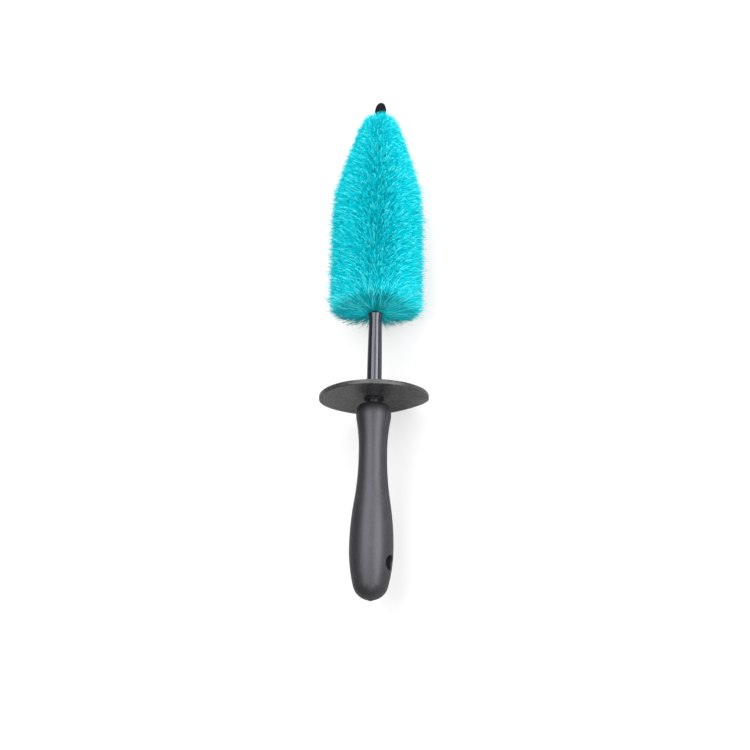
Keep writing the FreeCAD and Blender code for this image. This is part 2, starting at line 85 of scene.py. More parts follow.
class Finish:  # a node tree being filled, with the one method that adds a node
    def __init__(self, tree):
        self.tree = tree

    def node(self, kind, settings=None, sockets=None, out=0):
        made = self.tree.nodes.new(kind)
        for name, value in (settings or {}).items():
            if name == "stops":
                self.placeStops(made.color_ramp, value)
            else:
                setattr(made, name, value)
        for name, value in (sockets or {}).items():
            if isinstance(value, Strand):
                self.tree.links.new(value.socket, made.inputs[name])
            else:
                made.inputs[name].default_value = value
        return Strand(self, made.outputs[out])

    def placeStops(self, ramp, stops):
        while len(ramp.elements) < len(stops):
            ramp.elements.new(1.0)
        for element, (place, shade) in zip(ramp.elements, stops):
            element.position = place
            element.color = (shade, shade, shade, 1.0)

    def here(self):  # where a point is on the object, in metres
        return self.node("ShaderNodeTexCoord", out="Object")

    def stretched(self, place, scale):
        return self.node("ShaderNodeVectorMath", {"operation": "MULTIPLY"}, {0: place, 1: scale})

    def parts(self, place):
        split = self.node("ShaderNodeSeparateXYZ", None, {0: place})
        return [Strand(self, split.socket.node.outputs[i]) for i in range(3)]

    def clamped(self, operation, first, second):  # maths whose answer stays within 0 to 1
        settings = {"operation": operation, "use_clamp": True}
        return self.node("ShaderNodeMath", settings, {0: first, 1: second})

    def cloud(self, place, size, detail, rough):  # noise whose patches are about size across
        return self.node(
            "ShaderNodeTexNoise", None,
            {"Vector": place, "Scale": 1.0 / size, "Detail": detail, "Roughness": rough},
        )

    def ramp(self, value, dark, light):  # 0 up to dark and 1 from light on
        return self.node("ShaderNodeValToRGB", {"stops": ((dark, 0.0), (light, 1.0))}, {"Fac": value})

    def blend(self, share, first, second):
        return self.node(
            "ShaderNodeMix", {"data_type": "RGBA"},
            {0: share, 6: (*first, 1.0) if isinstance(first, tuple) else first,
             7: (*second, 1.0) if isinstance(second, tuple) else second}, out=2,
        )

    def bump(self, height, strength, depth, under=None):  # under is a coarser bump below this one
        sockets = {"Height": height, "Strength": strength, "Distance": depth}
        if under is not None:
            sockets["Normal"] = under
        return self.node("ShaderNodeBump", None, sockets)


def startMaterial(name, constants):
    material = bpy.data.materials.new(name)
    material.use_nodes = True
    finish = Finish(material.node_tree)
    surface = material.node_tree.nodes["Principled BSDF"]
    for socket, value in constants.items():
        surface.inputs[socket].default_value = value
    return material, finish, surface


def feed(finish, surface, links):
    for socket, value in links.items():
        finish.tree.links.new(value.socket, surface.inputs[socket])


# materials: each noise is its size in metres, its detail and its roughness

handleFinish = {
    "deep": (0.007, 0.007, 0.0085), "worn": (0.040, 0.040, 0.044),
    "roughLow": 0.39, "roughHigh": 0.48, "scuffRough": 0.05,
    "shine": {"IOR": 1.49, "Specular IOR Level": 0.85, "Specular Tint": (0.90, 0.90, 1.0, 1.0)},
    "patches": (0.028, 4.0, 0.55), "patchEnds": (0.35, 0.70),
    "scuffs": (0.0032, 5.0, 0.65), "scuffEnds": (0.56, 0.72), "scuffStretch": (1.0, 0.16, 1.0),
    "grain": (0.0017, 3.0, 0.7), "grainEnds": (0.36, 0.66),
    "drawn": (0.0011, 2.0, 0.6), "drawnStretch": (1.0, 0.14, 1.0),
    "bumpStrength": 0.30, "bumpDepth": 0.00014,
}


def makeHandlePlastic():
    v = handleFinish
    material, finish, surface = startMaterial("handlePlastic", v["shine"])
    place = finish.here()
    patches = finish.cloud(place, *v["patches"])
    scuffs = finish.cloud(finish.stretched(place, v["scuffStretch"]), *v["scuffs"])
    scuffs = finish.ramp(scuffs, *v["scuffEnds"])
    grain = finish.ramp(finish.cloud(place, *v["grain"]), *v["grainEnds"])
    wear = finish.ramp(patches, *v["patchEnds"])
    drawn = finish.cloud(finish.stretched(place, v["drawnStretch"]), *v["drawn"])
    share = wear * 0.16 + scuffs * 0.30 + drawn * 0.14 + grain * 0.42
    roughSpan = v["roughHigh"] - v["roughLow"]
    roughShare = wear * 0.3 + drawn * 0.3 + grain * 0.4
    height = grain * 1.0 + drawn * 0.6
    feed(finish, surface, {
        "Base Color": finish.blend(share, v["deep"], v["worn"]),
        "Roughness": v["roughLow"] + roughSpan * roughShare + scuffs * v["scuffRough"],
        "Normal": finish.bump(height, v["bumpStrength"], v["bumpDepth"]),
    })
    return material


guardFinish = {
    "deep": (0.005, 0.005, 0.006), "dusty": (0.078, 0.079, 0.080),
    "roughLow": 0.22, "roughHigh": 0.36, "shine": {"IOR": 1.5, "Specular IOR Level": 0.62},
    "streaksRound": 26.0, "streaksOut": 60.0, "streakNoise": (1.0, 3.0, 0.6),  # drawn out from the middle
    "ringsOut": 900.0, "ringsAcross": 12.0, "ringNoise": (1.0, 2.0, 0.5),  # fine turned rings
    "dust": (0.012, 5.0, 0.6), "dustEnds": (0.38, 0.72),
    "pores": (0.0006, 2.0, 0.6),
    "specks": (0.0013, 3.0, 0.7), "speckEnds": (0.45, 0.75),
    "bumpStrength": 0.85, "bumpDepth": 0.00030,
}


def makeGuardRubber():
    v = guardFinish
    material, finish, surface = startMaterial("guardRubber", v["shine"])
    place = finish.here()
    x, y, z = finish.parts(place)
    across = x - axisX
    upward = z - axisZ
    squared = across * across + upward * upward
    radius = finish.node("ShaderNodeMath", {"operation": "SQRT"}, {0: squared})
    outwards = finish.node("ShaderNodeCombineXYZ", None, {
        0: across / radius * v["streaksRound"],
        1: radius * v["streaksOut"],
        2: upward / radius * v["streaksRound"],
    })
    turned = finish.node("ShaderNodeCombineXYZ", None, {
        0: radius * v["ringsOut"], 1: across * v["ringsAcross"], 2: upward * v["ringsAcross"],
    })
    streaks = finish.cloud(outwards, *v["streakNoise"])
    rings = finish.cloud(turned, *v["ringNoise"])
    dust = finish.ramp(finish.cloud(place, *v["dust"]), *v["dustEnds"])
    pores = finish.cloud(place, *v["pores"])
    specks = finish.ramp(finish.cloud(place, *v["specks"]), *v["speckEnds"])
    share = dust * 0.22 + streaks * 0.42 + specks * 0.48
    roughSpan = v["roughHigh"] - v["roughLow"]
    roughShare = dust * 0.4 + streaks * 0.4 + specks * 0.2
    height = streaks * 0.55 + rings * 0.35 + pores * 0.25 + specks * 0.4
    feed(finish, surface, {
        "Base Color": finish.blend(share, v["deep"], v["dusty"]),
        "Roughness": v["roughLow"] + roughSpan * roughShare,
        "Normal": finish.bump(height, v["bumpStrength"], v["bumpDepth"]),
    })
    return material


grommetFinish = {
    "deep": (0.006, 0.006, 0.007), "chalky": (0.018, 0.018, 0.020),
    "rough": 0.62, "patchRough": 0.18, "shine": {"IOR": 1.5},
    "patches": (0.004, 4.0, 0.6), "pores": (0.0005, 2.0, 0.6),
    "bumpStrength": 0.3, "bumpDepth": 0.00005,
}


def makeGrommetRubber():
    v = grommetFinish
    material, finish, surface = startMaterial("grommetRubber", v["shine"])
    place = finish.here()
    patches = finish.cloud(place, *v["patches"])
    pores = finish.cloud(place, *v["pores"])
    feed(finish, surface, {
        "Base Color": finish.blend(patches * 0.7 + pores * 0.3, v["deep"], v["chalky"]),
        "Roughness": v["rough"] + patches * v["patchRough"],
        "Normal": finish.bump(pores + patches * 0.6, v["bumpStrength"], v["bumpDepth"]),
    })
    return material


sleeveFinish = {
    "deep": (0.010, 0.011, 0.016), "milky": (0.020, 0.022, 0.028),
    "rough": 0.06, "smearRough": 0.10, "peelRough": 0.05,
    "shine": {"IOR": 1.53, "Specular IOR Level": 1.0, "Specular Tint": (0.86, 0.88, 1.0, 1.0)},
    "waves": (0.0065, 2.0, 0.5), "waveStretch": (1.0, 0.35, 1.0),
    "peel": (0.0009, 2.0, 0.5),
    "smears": (0.0026, 4.0, 0.6), "smearEnds": (0.50, 0.75), "smearStretch": (1.0, 0.22, 1.0),
    "waveBump": (0.5, 0.00012), "peelBump": (0.18, 0.00002),  # strength and depth
}


def makeSleeveVinyl():
    v = sleeveFinish
    material, finish, surface = startMaterial("sleeveVinyl", v["shine"])
    place = finish.here()
    waves = finish.cloud(finish.stretched(place, v["waveStretch"]), *v["waves"])
    peel = finish.cloud(place, *v["peel"])
    smears = finish.cloud(finish.stretched(place, v["smearStretch"]), *v["smears"])
    smears = finish.ramp(smears, *v["smearEnds"])
    feed(finish, surface, {
        "Base Color": finish.blend(smears * 0.6 + peel * 0.2, v["deep"], v["milky"]),
        "Roughness": v["rough"] + smears * v["smearRough"] + peel * v["peelRough"],
        "Normal": finish.bump(peel, *v["peelBump"], finish.bump(waves, *v["waveBump"])),
    })
    return material


capFinish = {
    "deep": (0.003, 0.003, 0.004), "dull": (0.012, 0.013, 0.016),
    "rough": 0.40, "skinRough": 0.22, "shine": {"IOR": 1.5, "Specular IOR Level": 0.05},
    "skin": (0.0016, 4.0, 0.6), "drips": (0.0038, 2.0, 0.5), "dripStretch": (1.0, 0.5, 1.0),
    "bumpStrength": 0.5, "bumpDepth": 0.0002,
}


def makeCapRubber():
    v = capFinish
    material, finish, surface = startMaterial("capRubber", v["shine"])
    place = finish.here()
    skin = finish.cloud(place, *v["skin"])
    drips = finish.cloud(finish.stretched(place, v["dripStretch"]), *v["drips"])
    feed(finish, surface, {
        "Base Color": finish.blend(skin, v["deep"], v["dull"]),
        "Roughness": v["rough"] + skin * v["skinRough"],
        "Normal": finish.bump(drips + skin * 0.4, v["bumpStrength"], v["bumpDepth"]),
    })
    return material


steelFinish = {
    "bright": (0.62, 0.63, 0.65), "tarnished": (0.36, 0.35, 0.33),
    "rough": 0.22, "drawnRough": 0.12, "tarnishRough": 0.2,
    "drawn": (0.0004, 3.0, 0.6), "drawnStretch": (1.0, 0.05, 1.0),
    "tarnish": (0.006, 5.0, 0.6), "tarnishEnds": (0.45, 0.75),
    "bumpStrength": 0.2, "bumpDepth": 0.00002,
}


def makePlatedSteel():
    v = steelFinish
    material, finish, surface = startMaterial("platedSteel", {"Metallic": 1.0})
    place = finish.here()
    drawn = finish.cloud(finish.stretched(place, v["drawnStretch"]), *v["drawn"])
    tarnish = finish.ramp(finish.cloud(place, *v["tarnish"]), *v["tarnishEnds"])
    feed(finish, surface, {
        "Base Color": finish.blend(tarnish * 0.7 + drawn * 0.3, v["bright"], v["tarnished"]),
        "Roughness": v["rough"] + drawn * v["drawnRough"] + tarnish * v["tarnishRough"],
        "Normal": finish.bump(drawn, v["bumpStrength"], v["bumpDepth"]),
    })
    return material


fibreFinish = {
    # root is lighter than body: painted light that brightens the shaded depths where the fibres crowd round
    # the stem
    "root": (0.000, 0.74, 0.82), "body": (0.000, 0.485, 0.57),
    "pale": (0.006, 0.79, 0.87), "glint": (0.15, 0.92, 0.96),
    "rough": 0.45, "mottleRough": 0.15,
    "shine": {"IOR": 1.5, "Specular IOR Level": 0.12, "Specular Tint": (0.1, 0.95, 1.0, 1.0)},
    "mottle": (0.0011, 2.0, 0.5), "drift": (0.016, 2.0, 0.5), "uneven": 0.24,
    "paintedRootLightEnds": (0.10, 0.75),  # where along a fibre the root's lighter colour, painted light for the shaded depths of the head, gives way to the body's
    "glintFrom": 0.82, "glintRise": 5.0,  # the palest tones turn towards white
}


def makeBristleFibre():
    v = fibreFinish
    material, finish, surface = startMaterial("bristleFibre", v["shine"])
    place = finish.here()
    tone = finish.node("ShaderNodeAttribute", {"attribute_name": "tone"}, out="Fac")
    along = finish.node("ShaderNodeAttribute", {"attribute_name": "along"}, out="Fac")
    mottle = finish.cloud(place, *v["mottle"])
    drift = finish.cloud(place, *v["drift"])
    # fibres are painted lighter towards their roots: painted light for the shade deep in the head
    body = finish.blend(finish.ramp(along, *v["paintedRootLightEnds"]), v["root"], v["body"])
    patchy = mottle * v["uneven"] + drift * v["uneven"] - v["uneven"]
    lift = finish.clamped("ADD", tone, patchy)
    glint = finish.clamped("MULTIPLY", tone - v["glintFrom"], v["glintRise"])
    feed(finish, surface, {
        "Base Color": finish.blend(glint, finish.blend(lift, body, v["pale"]), v["glint"]),
        "Roughness": v["rough"] + mottle * v["mottleRough"],
    })
    return material


finishes = {
    "handle": makeHandlePlastic(),
    "guard": makeGuardRubber(),
    "grommet": makeGrommetRubber(),
    "sleeve": makeSleeveVinyl(),
    "cap": makeCapRubber(),
    "steel": makePlatedSteel(),
    "fibre": makeBristleFibre(),
}
print("finishes made:", len(finishes))


def wear(node, material):  # a CAD node keeps its mesh and takes a material
    slots = nodes[node].material_slots
    if not slots:
        nodes[node].data.materials.append(material)
    for materialSlot in nodes[node].material_slots:
        materialSlot.material = material


for node, finishName in (
    ("handle", "handle"), ("anchor_ferrule", "steel"), ("guard_grommet", "grommet"),
    ("stem_wire_a", "steel"), ("stem_wire_b", "steel"),
):
    wear(node, finishes[finishName])


def settle(shape, name, material):  # a finished bmesh becomes a smooth object at the origin
    bmesh.ops.remove_doubles(shape, verts=shape.verts[:], dist=weld)
    bmesh.ops.recalc_face_normals(shape, faces=shape.faces[:])
    mesh = bpy.data.meshes.new(name)
    shape.to_mesh(mesh)
    shape.free()
    mesh.polygons.foreach_set("use_smooth", [True] * len(mesh.polygons))
    mesh.materials.append(material)
    piece = bpy.data.objects.new(name, mesh)
    bpy.context.scene.collection.objects.link(piece)
    return piece


def turnProfile(points, steps, ring=True):  # (radius, y) pairs, turned round the brush's axis
    shape = bmesh.new()
    corners = [shape.verts.new((axisX + radius, y, axisZ)) for radius, y in points]
    following = corners[1:] + corners[:1] if ring else corners[1:]
    edges = [shape.edges.new(pair) for pair in zip(corners, following)]
    bmesh.ops.spin(
        shape, geom=corners + edges, cent=(axisX, 0, axisZ), axis=(0, 1, 0), angle=math.tau,
        steps=steps, use_merge=True,
    )
    bmesh.ops.remove_doubles(shape, verts=shape.verts[:], dist=weld)
    return shape


# sleeve

sleeveTube = {
    "seatEnd": -41.2 * mm, "neckEnd": 18.8 * mm,  # along the brush: straight, then tapered, then flared
    "neck": 5.25 * mm, "bell": 6.05 * mm, "lip": 0.7 * mm, "bore": 3.6 * mm,
    "seatRings": 10, "taperRings": 36, "flareRings": 14, "lipRings": 6, "steps": 96,
    "uneven": 0.05 * mm, "unevenAcross": 90, "unevenAlong": 55, "unevenFrom": 8 * mm,
}


def sleeveOutline():
    v = sleeveTube
    low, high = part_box("sleeve")
    seat = (high.x - low.x) / 2
    outline = [(v["bore"], low.y)]
    for i in range(v["seatRings"]):
        outline.append((seat, low.y + (v["seatEnd"] - low.y) * i / v["seatRings"]))
    for i in range(v["taperRings"]):
        share = i / v["taperRings"]
        radius = seat - (seat - v["neck"]) * share ** 2
        outline.append((radius, v["seatEnd"] + (v["neckEnd"] - v["seatEnd"]) * share))
    flareEnd = high.y - v["lip"]
    for i in range(v["flareRings"]):
        share = i / v["flareRings"]
        radius = v["neck"] + (v["bell"] - v["neck"]) * share ** 2
        outline.append((radius, v["neckEnd"] + (flareEnd - v["neckEnd"]) * share))
    for i in range(v["lipRings"] + 1):
        a = math.radians(90.0 * i / v["lipRings"])
        outline.append((v["bell"] - v["lip"] + v["lip"] * math.cos(a), flareEnd + v["lip"] * math.sin(a)))
    return outline + [(v["bore"], high.y)]


def makeSleeveTube():
    v = sleeveTube
    shape = turnProfile(sleeveOutline(), v["steps"])
    across, along = v["unevenAcross"], v["unevenAlong"]
    for corner in shape.verts:
        if corner.co.y > v["seatEnd"]:
            fade = min((corner.co.y - v["seatEnd"]) / v["unevenFrom"], 1.0)
            spot = Vector((corner.co.x * across, corner.co.y * along, corner.co.z * across))
            swell = 1.0 + fade * v["uneven"] / v["neck"] * noise.noise(spot)
            corner.co.x = axisX + (corner.co.x - axisX) * swell
            corner.co.z = axisZ + (corner.co.z - axisZ) * swell
    return settle(shape, "sleeveTube", finishes["sleeve"])


sleevePiece = makeSleeveTube()
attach(sleevePiece, "brush")
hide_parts("sleeve")
print("sleeve made")


# splash guard

guardDisc = {
    "edgeRound": 0.6 * mm, "edgeSteps": 5, "rings": 14, "steps": 192, "hole": 7.65 * mm,
    "flatTo": 16 * mm,  # nearer the axis than this the disc is true
    "bends": (  # direction round the axis in degrees from +X, how wide, and how far forward the rim goes
        (-62.0, 34.0, 2.1 * mm), (-18.0, 12.0, -0.5 * mm),
        (-118.0, 30.0, -1.1 * mm), (158.0, 50.0, -1.9 * mm),
    ),
    "bendRate": 1.6, "ripple": 0.16 * mm, "rippleSize": 95.0,
}


def guardOutline():
    v = guardDisc
    rim = (guardHigh.x - guardLow.x) / 2
    rear, front, soft = guardLow.y, guardHigh.y, v["edgeRound"]
    outline = []
    for i in range(v["rings"] + 1):
        outline.append((v["hole"] + (rim - soft - v["hole"]) * i / v["rings"], rear))
    for cornerY, start in ((rear + soft, -90.0), (front - soft, 0.0)):
        for i in range(1, v["edgeSteps"] + 1):
            a = math.radians(start + 90.0 * i / v["edgeSteps"])
            outline.append((rim - soft + soft * math.cos(a), cornerY + soft * math.sin(a)))
    for i in range(1, v["rings"] + 1):
        outline.append((rim - soft + (v["hole"] - rim + soft) * i / v["rings"], front))
    return outline


def makeGuardDisc():
    v = guardDisc
    shape = turnProfile(guardOutline(), v["steps"])
    rim = (guardHigh.x - guardLow.x) / 2
    for corner in shape.verts:
        across, upward = corner.co.x - axisX, corner.co.z - axisZ
        radius = math.hypot(across, upward)
        share = min(max((radius - v["flatTo"]) / (rim - v["flatTo"]), 0.0), 1.0) ** v["bendRate"]
        direction = math.degrees(math.atan2(upward, across))
        for middle, width, rise in v["bends"]:
            away = (direction - middle + 180.0) % 360.0 - 180.0
            corner.co.y += rise * share * math.exp(-((away / width) ** 2))
        corner.co.y += v["ripple"] * share * noise.noise(corner.co * v["rippleSize"])
    return settle(shape, "splashGuardDisc", finishes["guard"])


splashGuardDisc = makeGuardDisc()
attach(splashGuardDisc, "guard")
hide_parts("splash_guard")
print("splash guard made")


# tip cap

tipCapShape = {
    "steps": 48, "lumps": 0.5 * mm, "lumpSize": 230.0, "lumpMiddle": 0.15, "fuller": 1.07,
    "lean": (1.5 * mm, -0.6 * mm), "leanAtBack": 0.35,  # how far its nose sits off the axis
    "outline": (  # share of the length from the back, share of the radius
        (0.0, 0.80), (0.03, 0.93), (0.10, 1.0), (0.35, 0.99), (0.58, 0.97), (0.72, 0.90), (0.83, 0.77),
        (0.91, 0.58), (0.965, 0.36), (0.992, 0.15),
    ),
}


def makeTipCap():
    v = tipCapShape
    low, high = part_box("tip_cap")
    length, girth = high.y - low.y, (high.x - low.x) / 2
    outline = [(girth * wide, low.y + length * along) for along, wide in v["outline"]]
    shape = turnProfile([(0.0, low.y)] + outline + [(0.0, high.y)], v["steps"], ring=False)
    for corner in shape.verts:
        share = (corner.co.y - low.y) / length
        lump = noise.noise(corner.co * v["lumpSize"]) - v["lumpMiddle"]
        swell = (1.0 + v["lumps"] / girth * lump) * v["fuller"]
        off = v["leanAtBack"] + (1.0 - v["leanAtBack"]) * share
        corner.co.x = axisX + (corner.co.x - axisX) * swell + v["lean"][0] * off
        corner.co.z = axisZ + (corner.co.z - axisZ) * swell + v["lean"][1] * off
    return settle(shape, "tipCapDip", finishes["cap"])


tipCapDip = makeTipCap()
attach(tipCapDip, "brush")
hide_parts("tip_cap")
print("tip cap made")


# bristles

bristleHead = {
    "seed": 21, "perBand": 7400, "bands": 10, "taperBands": 4,
    "endRadius": 15 * mm,  # where the taper stops
    "pitch": 30 * mm, "rowPhase": 0.35, "rowGather": 0.955,  # two rows wind round the stem
    "stemRadius": 2.4 * mm, "mouthRadius": 5.2 * mm, "mouthDeep": 3 * mm,  # roots fill the sleeve's mouth
    "rootSpread": 4.2 * mm, "rootTurn": 0.50, "rootBehind": 1.2 * mm, "rootDeep": 5 * mm,
    "firstRoot": 0.3 * mm, "rootsStop": 9.0 * mm,
    "clump": 1.5 * mm, "clumpStep": 0.3, "clumpPull": 0.12, "clumpShare": 0.6,
    "clumpLean": 0.9 * mm, "clumpLength": 0.7 * mm,
    "wander": 0.9 * mm, "lengthSpread": 0.050, "bow": 2.0 * mm,
    # strays are painted paler: painted light shining through the fine fringe
    "strayShare": 0.22, "strayLength": 3.6 * mm, "strayPaintedBacklight": 0.26,
    "rootThick": 0.15 * mm, "tipThick": 0.11 * mm,  # half of each thickness
    "thinnest": 0.85, "thickSpread": 0.3, "paleThick": 0.55, "paleFrom": 0.75, "paleRise": 5,
    "toneLow": 0.10, "clumpTone": 0.22, "toneSpread": (0.8, 0.31),
    "sides": 3, "rings": (0.38, 0.72),
    "baseLean": 2.8 * mm, "baseEase": 13 * mm, "baseRound": 1.0 * mm, "baseRoundOver": 6 * mm,
    "fanUp": 22.0,  # the base arches forward round this direction and back opposite
    "fanRise": 8.5 * mm, "fanDrop": 2.6 * mm, "fanRagged": 0.9 * mm, "fanRound": 3.4 * mm,
    # the base fan's fibres are painted paler, painted light over its shade, and less so on its lower side
    "fanSparse": 0.55, "fanPaintedLight": 0.30, "fanPaintedLightCutBelow": 0.5,
    "frontShort": 4.6 * mm, "frontSparse": 0.5, "frontOver": 13 * mm, "frontLean": 3.6 * mm,
    "frontTrim": 3.0 * mm, "tipAside": (0.4 * mm, 0.7 * mm),
    "inset": 2.9 * mm, "taperInset": 0.5 * mm, "shoulderInset": (2.0 * mm, 17 * mm),
}


def bandEdges():
    boxes = [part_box(f"bristle_band_{i + 1}") for i in range(bristleHead["bands"])]
    starts = [low.y for low, high in boxes]
    radii = [(high.x - low.x) / 2 for low, high in boxes]
    return starts + [boxes[-1][1].y], radii + [bristleHead["endRadius"]]


def unit(vectors):
    return vectors / np.linalg.norm(vectors, axis=-1, keepdims=True)


def roundAxis(radius, angle, y):  # angles start straight up and go round towards +X
    across, upward = radius * np.sin(angle), radius * np.cos(angle)
    return np.stack([axisX + across, np.zeros_like(across) + y, axisZ + upward], axis=-1)


def scatterFibres():
    v = bristleHead
    edges, radii = bandEdges()
    draw = np.random.default_rng(v["seed"])
    start, end = edges[0] + v["baseLean"], edges[-1] - v["frontShort"]  # where the tips lie along the brush
    full = radii[0]
    shoulder = edges[-1 - v["taperBands"]]
    total = v["perBand"] * v["bands"]
    rows = int(round(math.sqrt(total * (end - start) / (math.tau * full))))
    columns = total // rows
    row, column = np.meshgrid(np.arange(rows), np.arange(columns), indexing="ij")
    count = rows * columns
    y = start + (end - start) * (row.ravel() + draw.random(count)) / rows
    angle = math.tau * (column.ravel() + draw.random(count)) / columns

    cellsAlong = int((end - start) / v["clump"]) + 2
    cellsRound = int(math.tau * full / v["clump"])
    wobble = draw.normal(0.0, v["clumpStep"], (2, count))
    alongCell = np.clip(((y - start) / v["clump"] + wobble[0]).astype(int), 0, cellsAlong - 1)
    roundCell = (angle / math.tau * cellsRound + wobble[1]).astype(int) % cellsRound
    jitter = draw.uniform(-1.0, 1.0, (5, cellsAlong, cellsRound))[:, alongCell, roundCell]
    clumpY = start + (alongCell + 0.5 + v["clumpStep"] * jitter[3]) * v["clump"]
    clumpAngle = (roundCell + 0.5 + v["clumpStep"] * jitter[4]) / cellsRound * math.tau
    turn = (clumpAngle - angle + math.pi) % math.tau - math.pi

    fromBase = np.clip(1.0 - (y - start) / v["baseRoundOver"], 0.0, 1.0)
    downTaper = np.clip((y - shoulder) / (edges[-1] - shoulder), 0.0, 1.0)
    envelope = np.interp(y, edges, radii) - v["baseRound"] * fromBase ** 2 - v["inset"]
    envelope = envelope - v["taperInset"] * np.sin(math.pi * downTaper)
    deep, wide = v["shoulderInset"]
    envelope = envelope - deep * np.exp(-((y - shoulder) / wide) ** 2)
    rowShift = ((y - start) / (v["pitch"] / 2) - angle / math.pi - v["rowPhase"] + 0.5) % 1.0 - 0.5
    rowY = y - rowShift * v["pitch"] / 2  # the nearest row of the two at this side of the stem
    tipY = rowY + (y - rowY) * v["rowGather"]
    tipY = tipY + (clumpY - y) * v["clumpPull"] + v["clumpLean"] * jitter[0] * v["clumpShare"]
    tipAngle = angle + turn * v["clumpPull"] + v["clumpLean"] * jitter[1] / envelope * v["clumpShare"]
    tipY = tipY + draw.normal(0.0, v["wander"], count)
    tipAngle = tipAngle + draw.normal(0.0, v["wander"], count) / envelope
    length = envelope * (1.0 + draw.normal(0.0, v["lengthSpread"], count)) + v["clumpLength"] * jitter[2]
    stray = draw.random(count) < v["strayShare"]
    length = length + stray * v["strayLength"] * draw.random(count)

    near = np.exp(-(y - start) / v["baseEase"])
    facing = np.cos(angle - math.radians(v["fanUp"]))
    above, below = np.clip(facing, 0.0, 1.0), np.clip(-facing, 0.0, 1.0)
    tipY = tipY + near * (v["fanRise"] * above - v["fanDrop"] * below)
    tipY = tipY - v["fanRagged"] * near * np.abs(draw.normal(0.0, 1.0, count))
    length = length - v["fanRound"] * near ** 2 * above
    fromTip = np.clip(1.0 - (end - y) / v["frontOver"], 0.0, 1.0)
    tipY = tipY + v["frontLean"] * fromTip ** 2
    length = length - v["frontTrim"] * fromTip ** 2
    rootY = y - v["baseLean"] * near - v["rootBehind"] + draw.normal(0.0, v["rootSpread"], count)
    firstRoot, lastRoot = edges[0] + v["firstRoot"], edges[-1] - v["rootsStop"]
    rootY = np.where(rootY < firstRoot, firstRoot + v["rootBehind"] * draw.random(count), rootY)
    rootY = np.where(rootY > lastRoot, lastRoot - v["rootDeep"] * draw.random(count), rootY)
    rootAngle = tipAngle + draw.normal(0.0, v["rootTurn"], count)
    mouth = np.clip(1.0 - (rootY - edges[0]) / v["mouthDeep"], 0.0, 1.0)
    widest = v["stemRadius"] + (v["mouthRadius"] - v["stemRadius"]) * mouth
    rootRadius = widest * np.sqrt(draw.random(count))

    root = roundAxis(rootRadius, rootAngle, rootY)
    tip = roundAxis(length, tipAngle, tipY)
    tip[:, 0] += v["tipAside"][0] + v["tipAside"][1] * np.sqrt(downTaper)
    middle = (root + tip) / 2 + draw.normal(0.0, v["bow"], (count, 3))
    tone = v["toneLow"] + v["clumpTone"] * jitter[2] + draw.gamma(*v["toneSpread"], count)
    # tone is lifted here for the strays and for the base fan: painted light, not the fibres' own colour
    tone = tone + v["strayPaintedBacklight"] * stray + v["fanPaintedLight"] * near * (1.0 - v["fanPaintedLightCutBelow"] * below)
    paleness = np.clip((tone - v["paleFrom"]) * v["paleRise"], 0.0, 1.0)
    thick = v["thinnest"] + v["thickSpread"] * draw.random(count) + v["paleThick"] * paleness
    band = np.clip(np.searchsorted(edges, y, side="right") - 1, 0, v["bands"] - 1)
    kept = draw.random(count) > v["frontSparse"] * fromTip + v["fanSparse"] * near * below ** 2
    made = {"root": root, "middle": middle, "tip": tip, "tone": tone, "band": band,
            "thick": thick, "twist": math.tau * draw.random(count)}
    return {key: value[kept] for key, value in made.items()}


archedFibres = {  # the thicker ones that arch out over the back of the head, painted paler: a painted highlight where light catches them over the shaded base
    "count": 170, "thick": 0.185 * mm, "tone": (0.5, 0.98),
    "length": (0.55, 0.98), "rootOut": (0.6, 1.0),  # shares of the head's and the mouth's radius
    "tipTurn": 0.10, "tipAlong": (-1, 10), "middleTurn": 0.16, "middleAlong": (4, 14),  # radians, millimetres
}


def archFibres():
    v = archedFibres
    edges, radii = bandEdges()
    draw = np.random.default_rng(bristleHead["seed"] + 1)
    count = v["count"]
    angle = math.tau * draw.random(count)
    length = radii[0] * draw.uniform(*v["length"], count)
    rootRadius = bristleHead["mouthRadius"] * draw.uniform(*v["rootOut"], count)
    root = roundAxis(rootRadius, angle, edges[0] + bristleHead["firstRoot"])
    tipAngle = angle + draw.normal(0.0, v["tipTurn"], count)
    tip = roundAxis(length, tipAngle, edges[0] + draw.uniform(*v["tipAlong"], count) * mm)
    middleAngle = angle + draw.normal(0.0, v["middleTurn"], count)
    middleY = edges[0] + draw.uniform(*v["middleAlong"], count) * mm
    middle = roundAxis(length * 0.5, middleAngle, middleY)
    # their high tone is a painted highlight
    return {"root": root, "middle": middle, "tip": tip, "tone": draw.uniform(*v["tone"], count),
            "band": np.zeros(count, int), "thick": np.full(count, v["thick"] / bristleHead["rootThick"]),
            "twist": math.tau * draw.random(count)}


def layOutFibres(name, count):  # one thin closed fibre, repeated count times on the spot
    shape = bmesh.new()
    bmesh.ops.create_cone(
        shape, cap_ends=True, cap_tris=False, segments=bristleHead["sides"],
        radius1=1.0, radius2=1.0, depth=1.0,
    )
    bmesh.ops.translate(shape, verts=shape.verts[:], vec=(0.0, 0.0, 0.5))
    for height in bristleHead["rings"]:
        whole = shape.verts[:] + shape.edges[:] + shape.faces[:]
        bmesh.ops.bisect_plane(shape, geom=whole, plane_co=(0, 0, height), plane_no=(0, 0, 1))
    single = settle(shape, name + "Fibre", finishes["fibre"])
    corners = len(single.data.vertices)
    copies = single.modifiers.new("copies", "ARRAY")
    copies.count = count
    copies.use_relative_offset = False
    copies.use_merge_vertices = False
    mesh = bpy.data.meshes.new_from_object(single.evaluated_get(bpy.context.evaluated_depsgraph_get()))
    mesh.name = name
    bpy.data.objects.remove(single)
    return mesh, corners


